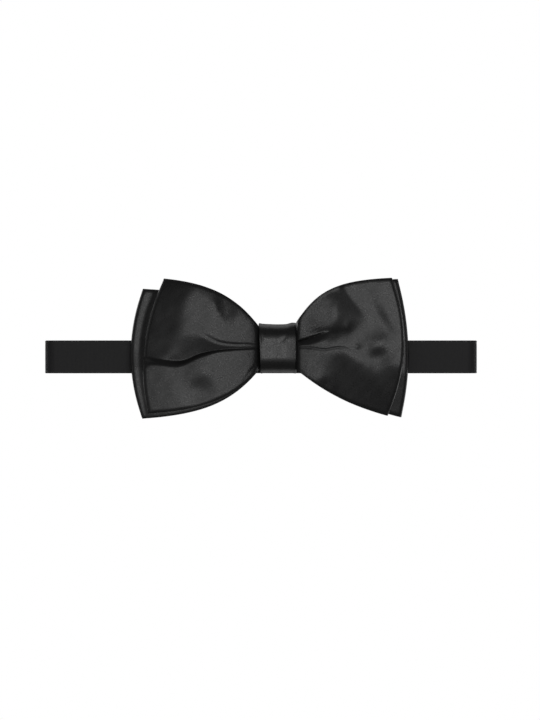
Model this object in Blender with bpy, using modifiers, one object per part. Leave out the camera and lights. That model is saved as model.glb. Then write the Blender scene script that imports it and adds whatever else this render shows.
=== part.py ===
"""Pre-tied bow tie on an adjustable neckband, modelled upright as it is worn.

The front faces -Y and +Z is up.  The origin is the middle of the flat back of
the knot, which lies against the collar button.  Lengths are in metres.
"""
import math

import bmesh
import bpy
from mathutils import Vector

MM = 0.001

# clearances
GAP = 0.3 * MM                  # between cloth layers that lie on each other
TUNNEL_CLEARANCE = 0.4 * MM     # round the neckband where it runs through the knot
WIRE_CLEARANCE = 0.5 * MM       # from the edge of the neckband to the metal beside it
CLASP_CLEARANCE = 0.65 * MM     # from the hook's tongue to the bar that it catches

# cloth
SATIN_THICKNESS = 0.5 * MM
INTERLINING_THICKNESS = 0.5 * MM
HEM_INSET = 1.2 * MM            # the interlining ends this far inside the satin's edges
THREAD_DIAMETER = 0.6 * MM
TACK_DIAMETER = 0.5 * MM

# knot
KNOT_WIDTH = 16.1 * MM
KNOT_HEIGHT = 21.0 * MM
KNOT_WRAP_THICKNESS = 0.9 * MM
KNOT_CORNER = 3.0 * MM
KNOT_SEAM_GAP = 1.6 * MM
KNOT_SEAM_DROP = 5.0 * MM       # the seam lies this far below the middle of the back
LACING_STEPS = 10
BINDING_TURNS = 5

# wings: each corner is (distance from the middle, height), outer edges bulge past them
WING_PUFF_LENGTH = 11.0 * MM    # how soon the wings reach their full depth beside the knot
REAR_PUFF = 3.5 * MM
FRONT_PUFF = 6.5 * MM
FRONT_LEFT = {"top": (48.3 * MM, 30.3 * MM), "bottom": (54.8 * MM, -28.0 * MM), "bulge": 6.0 * MM}
FRONT_RIGHT = {"top": (49.0 * MM, 30.1 * MM), "bottom": (47.2 * MM, -29.0 * MM), "bulge": 6.3 * MM}
REAR_LEFT = {"top": (57.7 * MM, 25.6 * MM), "bottom": (58.2 * MM, -30.2 * MM), "bulge": 5.2 * MM}
REAR_RIGHT = {"top": (51.5 * MM, 29.8 * MM), "bottom": (53.4 * MM, -29.7 * MM), "bulge": 4.4 * MM}
WING_SPREAD = 4.2               # how fast an edge opens out from the knot to its corner
FOLD_SHARPNESS = 16             # power that rounds the fold at the wing's outer edge
WING_COLUMNS = 9
WING_ROWS = 5

# neckband: one ribbon, laid flat as a loop with a fold at each end
BAND_WIDTH = 14.2 * MM
BAND_THICKNESS = 1.0 * MM
LOOP_WIDTH = 186.8 * MM
LOOP_MIDDLE_X = -7.0 * MM
LOOP_MIDDLE_Z = -3.65 * MM
FOLD_RADIUS = 4.4 * MM          # centre line of the ribbon in the end folds
CENTRE_RUN = 34.0 * MM          # from the loop's middle to the first bend
MIDDLE_RUN = 30.0 * MM          # from the first bend to the second
RISE_RUN = 20.0 * MM            # length over which the front run comes up to the knot
BEND_LIMIT = math.radians(36.0)
FOLD_STEPS = 10

# metal
WIRE_DIAMETER = 1.2 * MM
EYE_BAR_X = -20.3 * MM          # the bar that the hook catches, hidden behind the left wing
CLASP_SLOT = 4.2 * MM           # inner width of the eye
HOOK_REACH = 3.2 * MM           # from the hook's ribbon bar to its cross bar
TONGUE_HEIGHT = 8.0 * MM
TONGUE_THICKNESS = 1.0 * MM
TONGUE_DROP = 1.8 * MM          # how far the tongue reaches past the middle of the caught bar
SLIDER_HALF_WIDTH = 5.2 * MM
SLIDER_X = 41.0 * MM
WIRE_CORNER = 1.4 * MM
TAIL_SLOPE = 8.0 * MM
HOOK_TAIL = 11.5 * MM
TAB_LENGTH = 6.2 * MM
TACK_HEIGHT = 10.0 * MM
TACK_STEPS = 12

# layers of the knot, counted from its flat back towards the front
BAND_FRONT_Y = -(KNOT_WRAP_THICKNESS + TUNNEL_CLEARANCE + BAND_THICKNESS / 2)
BINDING_BACK_Y = BAND_FRONT_Y - BAND_THICKNESS / 2 - TUNNEL_CLEARANCE - THREAD_DIAMETER / 2
WAIST_THICKNESS = 2 * SATIN_THICKNESS + 2 * INTERLINING_THICKNESS + 3 * GAP
REAR_BOW_BACK_Y = BINDING_BACK_Y - THREAD_DIAMETER / 2 - GAP
FRONT_BOW_BACK_Y = REAR_BOW_BACK_Y - WAIST_THICKNESS - 1.5 * GAP
BINDING_FRONT_Y = FRONT_BOW_BACK_Y - WAIST_THICKNESS - GAP - THREAD_DIAMETER / 2
LINING_FRONT_Y = BINDING_FRONT_Y - THREAD_DIAMETER / 2 - GAP - INTERLINING_THICKNESS / 2
WRAP_FRONT_Y = LINING_FRONT_Y - INTERLINING_THICKNESS / 2 - GAP - KNOT_WRAP_THICKNESS / 2

# heights inside the knot
WRAP_Z = KNOT_HEIGHT / 2 - KNOT_WRAP_THICKNESS / 2
LINING_Z = WRAP_Z - KNOT_WRAP_THICKNESS / 2 - GAP - INTERLINING_THICKNESS / 2
BINDING_Z = LINING_Z - INTERLINING_THICKNESS / 2 - GAP - THREAD_DIAMETER / 2
WAIST_Z = BINDING_Z - THREAD_DIAMETER / 2 - GAP
WAIST_X = KNOT_WIDTH / 2 + GAP
TUNNEL_Z = BAND_WIDTH / 2 + TUNNEL_CLEARANCE - (KNOT_HEIGHT / 2 - KNOT_WRAP_THICKNESS)

# the loop
BAND_REAR_Y = BAND_FRONT_Y + 2 * FOLD_RADIUS
FOLD_X = LOOP_WIDTH / 2 - FOLD_RADIUS - BAND_THICKNESS / 2
SEGMENT_GAP = BAND_THICKNESS * math.tan(BEND_LIMIT / 2) + GAP

# the clasp: every bar that a ribbon goes round sits in the middle of its fold
BAR_FOLD_RADIUS = WIRE_DIAMETER / 2 + GAP + BAND_THICKNESS / 2
DOUBLED_RISE = BAND_THICKNESS + GAP
WIRE_Z = BAND_WIDTH / 2 + WIRE_CLEARANCE + WIRE_DIAMETER / 2
EYE_RIBBON_X = EYE_BAR_X + CLASP_SLOT + WIRE_DIAMETER
TONGUE_RADIUS = WIRE_DIAMETER / 2 + CLASP_CLEARANCE + TONGUE_THICKNESS / 2
HOOK_CROSS_X = EYE_BAR_X - 2 * TONGUE_RADIUS
HOOK_RIBBON_X = HOOK_CROSS_X - HOOK_REACH
CLASP_Y = BAND_REAR_Y + BAR_FOLD_RADIUS

COLLECTION_NAME = "bow_tie"


def start_scene():
    for old in list(bpy.data.objects):
        bpy.data.objects.remove(old, do_unlink=True)
    parts = bpy.data.collections.new(COLLECTION_NAME)
    cutters = bpy.data.collections.new("cutters")
    bpy.context.scene.collection.children.link(parts)
    bpy.context.scene.collection.children.link(cutters)
    return parts, cutters


def finish(obj, colour, roughness, metallic=0.0):
    material = bpy.data.materials.new(obj.name)
    material.use_nodes = True
    shader = material.node_tree.nodes["Principled BSDF"]
    shader.inputs["Base Color"].default_value = (*colour, 1.0)
    shader.inputs["Roughness"].default_value = roughness
    shader.inputs["Metallic"].default_value = metallic
    obj.data.materials.clear()
    obj.data.materials.append(material)


def satin(obj):
    finish(obj, (0.022, 0.022, 0.024), 0.38)


def ribbon_cloth(obj):
    finish(obj, (0.013, 0.013, 0.014), 0.75)


def interlining(obj):
    finish(obj, (0.55, 0.54, 0.50), 0.95)


def thread(obj):
    finish(obj, (0.02, 0.02, 0.02), 0.7)


def steel(obj):
    finish(obj, (0.62, 0.62, 0.60), 0.28, 1.0)


def grid_object(name, collection, columns, closed=False, origin=Vector((0, 0, 0))):
    """A sheet whose columns are lists of points; closed joins the last column to the first."""
    rows = len(columns[0])
    points = [point - origin for column in columns for point in column]
    spans = len(columns) if closed else len(columns) - 1
    faces = []
    for i in range(spans):
        here = i * rows
        after = ((i + 1) % len(columns)) * rows
        for j in range(rows - 1):
            faces.append((here + j, after + j, after + j + 1, here + j + 1))
    mesh = bpy.data.meshes.new(name)
    mesh.from_pydata(points, [], faces)
    mesh.update()
    obj = bpy.data.objects.new(name, mesh)
    obj.location = origin
    collection.objects.link(obj)
    return obj


def thicken(obj, thickness, offset=0.0):
    """Give a sheet its thickness; offset counts half thicknesses along the sheet's normal."""
    solid = obj.modifiers.new("Thickness", "SOLIDIFY")
    solid.thickness = thickness
    solid.offset = offset
    solid.use_even_offset = True
    solid.use_quality_normals = True


def arc(centre, radius, start, end, steps):
    """Points (x, y) on an arc, its angles in degrees."""
    points = []
    for i in range(steps + 1):
        angle = math.radians(start + (end - start) * i / steps)
        points.append((centre[0] + radius * math.cos(angle), centre[1] + radius * math.sin(angle)))
    return points


def band_height(x, y):
    """Middle height of the ribbon: raised in front, where it passes through the knot."""
    if y > 0:
        return LOOP_MIDDLE_Z
    distance = abs(x - LOOP_MIDDLE_X)
    share = min(1.0, max(0.0, (distance - CENTRE_RUN) / RISE_RUN))
    return TUNNEL_Z + (LOOP_MIDDLE_Z - TUNNEL_Z) * share


def ribbon(name, collection, path, origin):
    """A stretch of the neckband along a path of (x, y) points."""
    columns = []
    for x, y in path:
        middle = band_height(x, y)
        columns.append([Vector((x, y, middle - BAND_WIDTH / 2)), Vector((x, y, middle + BAND_WIDTH / 2))])
    obj = grid_object(name, collection, columns, origin=origin)
    thicken(obj, BAND_THICKNESS)
    ribbon_cloth(obj)
    return obj


def hairpin(bar_x, side, run_end, tail_end):
    """Path of a ribbon end that turns round a bar and lies back on its own outer side.

    side is +1 where the ribbon lies to the right of the bar and -1 to the left.
    """
    turn = arc((bar_x, CLASP_Y), BAR_FOLD_RADIUS, -90.0, -90.0 - side * 180.0, 8)
    tail_y = BAND_REAR_Y + DOUBLED_RISE
    return [(run_end, BAND_REAR_Y)] + turn + [(bar_x + side * TAIL_SLOPE, tail_y), (tail_end, tail_y)]


def wire(name, collection, points, radius, cyclic, origin=Vector((0, 0, 0)), sides=1):
    """A round wire along points, as a curve that is turned into a mesh."""
    curve = bpy.data.curves.new(name, "CURVE")
    curve.dimensions = "3D"
    curve.bevel_depth = radius
    curve.bevel_resolution = sides
    curve.use_fill_caps = not cyclic
    curve.resolution_u = 1
    curve.render_resolution_u = 0
    spline = curve.splines.new("POLY")
    spline.points.add(len(points) - 1)
    for point, place in zip(spline.points, points):
        point.co = (*(place - origin), 1.0)
    spline.use_cyclic_u = cyclic
    guide = bpy.data.objects.new(name + "_path", curve)
    guide.location = origin
    collection.objects.link(guide)
    bpy.context.view_layer.update()
    evaluated = guide.evaluated_get(bpy.context.evaluated_depsgraph_get())
    mesh = bpy.data.meshes.new_from_object(evaluated)
    welder = bmesh.new()
    welder.from_mesh(mesh)
    bmesh.ops.remove_doubles(welder, verts=welder.verts, dist=0.00001)
    bmesh.ops.recalc_face_normals(welder, faces=welder.faces)
    welder.to_mesh(mesh)
    welder.free()
    obj = bpy.data.objects.new(name, mesh)
    obj.matrix_world = guide.matrix_world
    collection.objects.link(obj)
    bpy.data.objects.remove(guide, do_unlink=True)
    return obj


def join(obj, tool, cutters):
    """Weld tool to obj and keep tool only as a guide."""
    for holder in list(tool.users_collection):
        holder.objects.unlink(tool)
    cutters.objects.link(tool)
    tool.hide_render = True
    tool.display_type = "WIRE"
    union = obj.modifiers.new("Join", "BOOLEAN")
    union.operation = "UNION"
    union.solver = "EXACT"
    union.object = tool


def wing_edge(share):
    """How far an edge has opened at a share of the way from the knot to its corner."""
    return (1.0 - math.exp(-WING_SPREAD * share)) / (1.0 - math.exp(-WING_SPREAD))


def wing_point(wing, side, share, height, back_y, puff_back, puff_front, front):
    """A point on the satin of a wing's loop.

    share runs from the knot (0) to the fold at the tip (1), height from the
    bottom edge (-1) to the top edge (1).  The panels part as they leave the
    knot and meet in a rounded fold.
    """
    upper = (1.0 + height) / 2
    corner_x = wing["bottom"][0] + (wing["top"][0] - wing["bottom"][0]) * upper
    tip = corner_x + wing["bulge"] * (1.0 - height * height) - WAIST_X
    x = WAIST_X + tip * share
    top = WAIST_Z + (wing["top"][1] - WAIST_Z) * wing_edge(share)
    bottom = -WAIST_Z + (wing["bottom"][1] + WAIST_Z) * wing_edge(share)
    z = bottom + (top - bottom) * upper
    swell = 1.0 - math.exp(-(x - WAIST_X) / WING_PUFF_LENGTH)
    back = back_y - SATIN_THICKNESS / 2 - puff_back * swell
    fore = back_y - WAIST_THICKNESS + SATIN_THICKNESS / 2 - puff_front * swell
    half = (back - fore) / 2 * math.sqrt(max(0.0, 1.0 - share ** FOLD_SHARPNESS))
    middle = (back + fore) / 2
    y = middle - half if front else middle + half
    return Vector((side * x, y, z))


def bow_loop(name, parts, left, right, back_y, puff_back, puff_front, inset):
    """The closed loop of one bow, seen from above: front panel, right fold, back panel, left fold."""
    shares = [math.sin(math.pi / 2 * i / WING_COLUMNS) for i in range(WING_COLUMNS + 1)]
    reach = 1.0 - inset / left["top"][1]
    heights = [reach * (2.0 * j / WING_ROWS - 1.0) for j in range(WING_ROWS + 1)]

    def column(wing, side, share, front):
        return [wing_point(wing, side, share, h, back_y, puff_back, puff_front, front) for h in heights]

    columns = [column(right, 1, share, True) for share in shares]
    columns += [column(right, 1, share, False) for share in reversed(shares[:-1])]
    columns += [column(left, -1, share, False) for share in shares]
    columns += [column(left, -1, share, True) for share in reversed(shares[:-1])]
    return grid_object(name, parts, columns, closed=True)


def bow(parts, label, left, right, back_y, puff_back, puff_front):
    cover = bow_loop(label + "_bow_satin", parts, left, right, back_y, puff_back, puff_front, 0.0)
    thicken(cover, SATIN_THICKNESS)
    satin(cover)
    core = bow_loop(
        label + "_bow_interlining", parts, left, right, back_y, puff_back, puff_front, HEM_INSET
    )
    depth = SATIN_THICKNESS / 2 + GAP + INTERLINING_THICKNESS / 2
    thicken(core, INTERLINING_THICKNESS, offset=-2 * depth / INTERLINING_THICKNESS)
    interlining(core)


def knot_strip(name, parts, path, width, thickness):
    """A strip of cloth that runs round the knot along a path of (y, z) points."""
    columns = [[Vector((width / 2, y, z)), Vector((-width / 2, y, z))] for y, z in path]
    obj = grid_object(name, parts, columns)
    thicken(obj, thickness)
    return obj


def knot(parts):
    back_y = -KNOT_WRAP_THICKNESS / 2
    seam_top = -KNOT_SEAM_DROP + KNOT_SEAM_GAP / 2
    seam_bottom = -KNOT_SEAM_DROP - KNOT_SEAM_GAP / 2
    inner_y = WRAP_FRONT_Y + KNOT_CORNER
    inner_z = WRAP_Z - KNOT_CORNER
    path = [(back_y, seam_top), (back_y, WRAP_Z)]
    path += arc((inner_y, inner_z), KNOT_CORNER, 90.0, 180.0, 5)
    path += arc((inner_y, -inner_z), KNOT_CORNER, 180.0, 270.0, 5)
    path += [(back_y, -WRAP_Z), (back_y, seam_bottom)]
    wrap = knot_strip("knot_wrap", parts, path, KNOT_WIDTH, KNOT_WRAP_THICKNESS)
    satin(wrap)

    corner = KNOT_CORNER - (WRAP_Z - LINING_Z)
    inner_y = LINING_FRONT_Y + corner
    inner_z = LINING_Z - corner
    path = [(BINDING_BACK_Y, LINING_Z)]
    path += arc((inner_y, inner_z), corner, 90.0, 180.0, 5)
    path += arc((inner_y, -inner_z), corner, 180.0, 270.0, 5)
    path += [(BINDING_BACK_Y, -LINING_Z)]
    lining = knot_strip("knot_lining", parts, path, KNOT_WIDTH - 2 * GAP, INTERLINING_THICKNESS)
    interlining(lining)

    lacing_z = KNOT_SEAM_GAP / 2 - GAP - TACK_DIAMETER / 2
    lacing = []
    for i in range(LACING_STEPS + 1):
        x = (i / LACING_STEPS - 0.5) * (KNOT_WIDTH - 4 * TACK_DIAMETER)
        rise = lacing_z if i % 2 else -lacing_z
        lacing.append(Vector((x, back_y, rise - KNOT_SEAM_DROP)))
    thread(wire("knot_closing_thread", parts, lacing, TACK_DIAMETER / 2, False))


def waist_binding(parts):
    """Thread wound round the gathered waist of both bows, under the knot."""
    half_y = (BINDING_BACK_Y - BINDING_FRONT_Y) / 2
    middle_y = (BINDING_BACK_Y + BINDING_FRONT_Y) / 2
    section = []
    for cy, cz, start in ((1, 1, 0.0), (-1, 1, 90.0), (-1, -1, 180.0), (1, -1, 270.0)):
        centre = (cy * (half_y - THREAD_DIAMETER), cz * (BINDING_Z - THREAD_DIAMETER))
        section += arc(centre, THREAD_DIAMETER, start, start + 90.0, 2)
    points = []
    pitch = THREAD_DIAMETER + GAP
    count = BINDING_TURNS * len(section)
    for i in range(count + 1):
        y, z = section[i % len(section)]
        x = pitch * (i / len(section) - BINDING_TURNS / 2)
        points.append(Vector((x, middle_y + y, z)))
    thread(wire("waist_binding", parts, points, THREAD_DIAMETER / 2, False))


def neckband_side(parts, side, label):
    """One side of the loop: two front stretches, the end fold and three back stretches.

    Each stretch has its origin on the upright axis that it bends about.
    """
    first = LOOP_MIDDLE_X + side * CENTRE_RUN
    risen = LOOP_MIDDLE_X + side * (CENTRE_RUN + RISE_RUN)
    second = LOOP_MIDDLE_X + side * (CENTRE_RUN + MIDDLE_RUN)
    fold = LOOP_MIDDLE_X + side * FOLD_X
    fold_y = BAND_FRONT_Y + FOLD_RADIUS
    gap = side * SEGMENT_GAP / 2
    trim = side * GAP / 2

    def stretch(run, path, hinge_x, hinge_y):
        ribbon(f"neckband_{label}_{run}", parts, path, Vector((hinge_x, hinge_y, 0)))

    path = [(first + gap, BAND_FRONT_Y), (risen, BAND_FRONT_Y), (second - gap, BAND_FRONT_Y)]
    stretch("inner", path, first, BAND_FRONT_Y)
    path = [(second + gap, BAND_FRONT_Y), (fold - trim, BAND_FRONT_Y)]
    stretch("outer", path, second, BAND_FRONT_Y)
    half_turn = 90.0 - math.degrees(GAP / 2 / FOLD_RADIUS)
    outwards = 90.0 - side * 90.0
    sweep = side * half_turn
    path = arc((fold, fold_y), FOLD_RADIUS, outwards - sweep, outwards + sweep, FOLD_STEPS)
    stretch("fold", path, fold, fold_y)
    path = [(fold - trim, BAND_REAR_Y), (second + gap, BAND_REAR_Y)]
    stretch("back_outer", path, fold, fold_y)
    path = [(second - gap, BAND_REAR_Y), (first + gap, BAND_REAR_Y)]
    stretch("back_middle", path, second, BAND_REAR_Y)
    run_end = first - gap
    bar_x = EYE_RIBBON_X if side > 0 else HOOK_RIBBON_X
    tail_end = run_end if side > 0 else bar_x - HOOK_TAIL
    stretch("back_end", hairpin(bar_x, side, run_end, tail_end), first, BAND_REAR_Y)


def neckband(parts):
    """The ribbon, in one stretch for each straight run between its bends."""
    reach = CENTRE_RUN - SEGMENT_GAP / 2
    path = [(LOOP_MIDDLE_X - reach, BAND_FRONT_Y), (LOOP_MIDDLE_X + reach, BAND_FRONT_Y)]
    ribbon("neckband_centre", parts, path, Vector((LOOP_MIDDLE_X, BAND_FRONT_Y, 0)))
    neckband_side(parts, -1, "left")
    neckband_side(parts, 1, "right")


def wire_frame(left_x, right_x, height_at):
    """Rounded rectangle of wire between two upright bars; height_at gives its y along x."""
    points = []
    reach = (right_x - left_x) / 2
    middle = (right_x + left_x) / 2
    corner = min(WIRE_CORNER, 0.45 * reach)
    for cx, cz, start in ((1, 1, 0.0), (-1, 1, 90.0), (-1, -1, 180.0), (1, -1, 270.0)):
        centre = (middle + cx * (reach - corner), cz * (WIRE_Z - corner))
        points += arc(centre, corner, start, start + 90.0, 3)
        if cz * cx > 0:
            for share in (0.5, 0.0, -0.5):
                points.append((middle + cx * share * reach, cz * WIRE_Z))
    return [Vector((x, height_at(x), z + LOOP_MIDDLE_Z)) for x, z in points]


def clasp(parts, cutters):
    eye_axis = Vector((EYE_RIBBON_X, CLASP_Y, LOOP_MIDDLE_Z))
    path = wire_frame(EYE_BAR_X, EYE_RIBBON_X, lambda x: CLASP_Y)
    steel(wire("eye", parts, path, WIRE_DIAMETER / 2, True, eye_axis))

    hook_axis = Vector((HOOK_RIBBON_X, CLASP_Y, LOOP_MIDDLE_Z))
    path = wire_frame(HOOK_RIBBON_X, HOOK_CROSS_X, lambda x: CLASP_Y)
    hook = wire("hook", parts, path, WIRE_DIAMETER / 2, True, hook_axis)
    # the tongue passes over the eye's bar and drops behind it along an arc about the hook's own axis
    bar = (EYE_BAR_X, CLASP_Y)
    over = arc(bar, TONGUE_RADIUS, 150.0, 10.0, 7)
    swing = over[-1][0] - HOOK_RIBBON_X
    lowest = math.degrees(math.asin(TONGUE_DROP / swing))
    drop = arc((HOOK_RIBBON_X, CLASP_Y), swing, 0.0, -lowest, 3)
    path = [(HOOK_CROSS_X, CLASP_Y)] + over + drop
    columns = []
    for x, y in path:
        low = Vector((x, y, LOOP_MIDDLE_Z - TONGUE_HEIGHT / 2))
        high = Vector((x, y, LOOP_MIDDLE_Z + TONGUE_HEIGHT / 2))
        columns.append([low, high])
    tongue = grid_object("hook_tongue_shape", cutters, columns, origin=hook_axis)
    thicken(tongue, TONGUE_THICKNESS)
    join(hook, tongue, cutters)
    steel(hook)


def slider(parts, cutters):
    """Three-bar slider: side bars inside the ribbon, the middle bar outside it with the sewn tab."""
    tab_y = BAND_REAR_Y + DOUBLED_RISE
    bar_y = tab_y + BAR_FOLD_RADIUS
    side_y = BAND_REAR_Y - BAND_THICKNESS / 2 - GAP - WIRE_DIAMETER / 2
    centre = Vector((SLIDER_X, bar_y, LOOP_MIDDLE_Z))

    def arch(x):
        return bar_y - (bar_y - side_y) * ((x - SLIDER_X) / SLIDER_HALF_WIDTH) ** 2

    path = wire_frame(SLIDER_X - SLIDER_HALF_WIDTH, SLIDER_X + SLIDER_HALF_WIDTH, arch)
    frame = wire("adjuster_slider", parts, path, WIRE_DIAMETER / 2, True, centre)
    ends = [centre + Vector((0, 0, WIRE_Z)), centre - Vector((0, 0, WIRE_Z))]
    bar = wire("slider_bar_shape", cutters, ends, WIRE_DIAMETER / 2, False, centre)
    join(frame, bar, cutters)
    steel(frame)

    near_x = SLIDER_X - TAB_LENGTH
    top_y = tab_y + DOUBLED_RISE
    turn = arc((SLIDER_X, bar_y), BAR_FOLD_RADIUS, -90.0, 90.0, 8)
    bend_x = SLIDER_X - 0.6 * TAB_LENGTH
    path = [(near_x, tab_y)] + turn + [(bend_x, top_y), (near_x, top_y)]
    ribbon("slider_tab", parts, path, centre)


def tack(name, parts, x, face_y):
    """Zigzag sewing across the ribbon, lying on a face."""
    y = face_y + GAP + TACK_DIAMETER / 2
    points = []
    for i in range(TACK_STEPS + 1):
        z = LOOP_MIDDLE_Z + TACK_HEIGHT * (i / TACK_STEPS - 0.5)
        step = TACK_DIAMETER if i % 2 else -TACK_DIAMETER
        points.append(Vector((x + step, y, z)))
    thread(wire(name, parts, points, TACK_DIAMETER / 2, False))


def build():
    parts, cutters = start_scene()
    bow(parts, "rear", REAR_LEFT, REAR_RIGHT, REAR_BOW_BACK_Y, 0.0, REAR_PUFF)
    bow(parts, "front", FRONT_LEFT, FRONT_RIGHT, FRONT_BOW_BACK_Y, REAR_PUFF, REAR_PUFF + FRONT_PUFF)
    waist_binding(parts)
    knot(parts)
    neckband(parts)
    clasp(parts, cutters)
    slider(parts, cutters)
    tail_face = BAND_REAR_Y + DOUBLED_RISE + BAND_THICKNESS / 2
    hook_tack_x = HOOK_RIBBON_X - (TAIL_SLOPE + HOOK_TAIL) / 2
    tack("hook_tack", parts, hook_tack_x, tail_face)
    tack("slider_tack", parts, SLIDER_X - 0.8 * TAB_LENGTH, tail_face + DOUBLED_RISE)


build()
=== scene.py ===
# Looks for the pre-tied bow tie: satin, ribbon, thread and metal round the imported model.
import math

import bmesh
import bpy
import numpy as np
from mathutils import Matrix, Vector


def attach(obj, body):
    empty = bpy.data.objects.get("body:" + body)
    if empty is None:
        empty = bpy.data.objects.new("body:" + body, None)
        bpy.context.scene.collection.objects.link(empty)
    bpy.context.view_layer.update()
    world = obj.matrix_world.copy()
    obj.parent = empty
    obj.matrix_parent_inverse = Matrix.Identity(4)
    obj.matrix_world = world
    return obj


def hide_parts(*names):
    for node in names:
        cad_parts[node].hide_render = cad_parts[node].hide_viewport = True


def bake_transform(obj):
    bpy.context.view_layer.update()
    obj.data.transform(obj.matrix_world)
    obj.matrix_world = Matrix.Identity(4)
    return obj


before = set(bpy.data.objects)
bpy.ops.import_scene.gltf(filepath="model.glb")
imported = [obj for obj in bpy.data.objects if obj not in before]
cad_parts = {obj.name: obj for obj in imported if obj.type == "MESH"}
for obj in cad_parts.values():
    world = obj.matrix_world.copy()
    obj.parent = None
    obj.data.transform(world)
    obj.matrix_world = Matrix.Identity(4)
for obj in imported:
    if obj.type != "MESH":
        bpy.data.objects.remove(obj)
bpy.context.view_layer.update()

mm = 0.001
circle = 2.0 * math.pi


def ease(low, high, value):
    # 0 up to low, 1 from high on, and a smooth rise between them
    share = np.clip((value - low) / (high - low), 0.0, 1.0)
    return share * share * (3.0 - 2.0 * share)


def unit(vectors):
    return vectors / np.maximum(np.linalg.norm(vectors, axis=-1, keepdims=True), 1e-12)


def facing(grid):
    # the direction square to a surface: the cross product of its two tangents
    return unit(np.cross(np.gradient(grid, axis=0), np.gradient(grid, axis=1)))


def spaced(count, edge, steps):
    # -1 to 1 in even steps, with a few shorter ones close to both ends, where the cloth is rounded
    inner = np.linspace(-1.0 + edge, 1.0 - edge, count)
    curve = edge * (1.0 - np.cos(np.linspace(0.0, math.pi / 2, steps + 1)))[:-1]
    return np.concatenate([-1.0 + curve, inner, (1.0 - curve)[::-1]])


def smoothSides(mesh):
    # smooth everywhere but the end caps, which are the only faces with more than four corners
    corners = np.empty(len(mesh.polygons), np.int32)
    mesh.polygons.foreach_get("loop_total", corners)
    mesh.polygons.foreach_set("use_smooth", corners <= 4)


def addObject(name, data):
    made = bpy.data.objects.new(name, data)
    bpy.context.scene.collection.objects.link(made)
    return made


def makePiece(name, grid, metres, caps=False):
    # grid is (along, across, 3) in metres; its last line is joined to its first all along.
    # metres gives each point's place on the cloth, which the weave is drawn by
    along, across = grid.shape[:2]
    number = np.arange(along * across).reshape(along, across)
    number = np.concatenate([number, number[:, :1]], axis=1)
    faces = np.stack([number[:-1, :-1], number[1:, :-1], number[1:, 1:], number[:-1, 1:]], axis=-1)
    faces = faces.reshape(-1, 4).tolist()
    if caps:
        faces.append(number[0, :across].tolist())
        faces.append(number[-1, :across][::-1].tolist())
    mesh = bpy.data.meshes.new(name)
    mesh.from_pydata(grid.reshape(-1, 3).tolist(), [], faces)
    corner = np.empty(len(mesh.loops), np.int32)
    mesh.loops.foreach_get("vertex_index", corner)
    layer = mesh.uv_layers.new(name="cloth")
    layer.data.foreach_set("uv", metres.reshape(-1, 2)[corner].astype(np.float32).ravel())
    work = bmesh.new()
    work.from_mesh(mesh)
    bmesh.ops.remove_doubles(work, verts=work.verts, dist=1e-7)
    bmesh.ops.recalc_face_normals(work, faces=work.faces)
    work.to_mesh(mesh)
    work.free()
    smoothSides(mesh)
    return addObject(name, mesh)


def clothPiece(name, middle, half, metres, caps=False):
    # a cloth with two sides: its middle surface moved out and in by half its thickness;
    # where half is 0, the two sides meet in a closed edge
    out = facing(middle) * half[..., None]
    both = np.concatenate([middle + out, (middle - out)[:, -2:0:-1]], axis=1)
    flat = np.concatenate([metres, metres[:, -2:0:-1]], axis=1)
    return makePiece(name, both, flat, caps)


def runLength(points):
    # distance along a line of points, from its start
    steps = np.linalg.norm(np.diff(points, axis=0), axis=-1)
    return np.concatenate([[0.0], np.cumsum(steps)])


def resample(points, step):
    # the same line with its points a fixed step apart
    run = runLength(points)
    count = max(2, int(round(run[-1] / step)) + 1)
    at = np.linspace(0.0, run[-1], count)
    return np.stack([np.interp(at, run, points[:, k]) for k in range(points.shape[1])], axis=-1)


def arc(centre, radius, start, end, steps=24):
    # points on a circle's arc, angles in degrees
    turn = np.radians(np.linspace(start, end, steps + 1))
    return np.stack([centre[0] + radius * np.cos(turn), centre[1] + radius * np.sin(turn)], axis=-1)


def roundedBox(left, right, top, leftCorner, rightCorner, steps):
    # the four corners of a box from -top to top, anticlockwise from its right side
    return [arc((right - rightCorner, top - rightCorner), rightCorner, 0.0, 90.0, steps),
            arc((left + leftCorner, top - leftCorner), leftCorner, 90.0, 180.0, steps),
            arc((left + leftCorner, leftCorner - top), leftCorner, 180.0, 270.0, steps),
            arc((right - rightCorner, rightCorner - top), rightCorner, 270.0, 360.0, steps)]


def rounded(share):
    # the height of a rounded end, 0 where share is 0 and 1 from share 1 on
    return np.sqrt(1.0 - (1.0 - np.clip(share, 0.0, 1.0)) ** 2)


def bell(x, z, at, size):
    # 1 at a point and falling off to 0 around it, on an oval
    return np.exp(-((x - at[0]) / size[0]) ** 2 - ((z - at[1]) / size[1]) ** 2)


def spread(*parts):
    # columns and rows of different shapes, brought to one grid of points
    return np.stack(np.broadcast_arrays(*parts), axis=-1)


class Strand:
    # a socket of a material, which adds Math nodes when it is used in a sum
    def __init__(self, finish, socket):
        self.finish = finish
        self.socket = socket

    def sum(self, operation, first, second):
        return self.finish.add("ShaderNodeMath", {"operation": operation}, {0: first, 1: second})

    def __add__(self, other):
        return self.sum("ADD", self, other)

    __radd__ = __add__

    def __sub__(self, other):
        return self.sum("SUBTRACT", self, other)

    def __rsub__(self, other):
        return self.sum("SUBTRACT", other, self)

    def __mul__(self, other):
        return self.sum("MULTIPLY", self, other)


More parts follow.
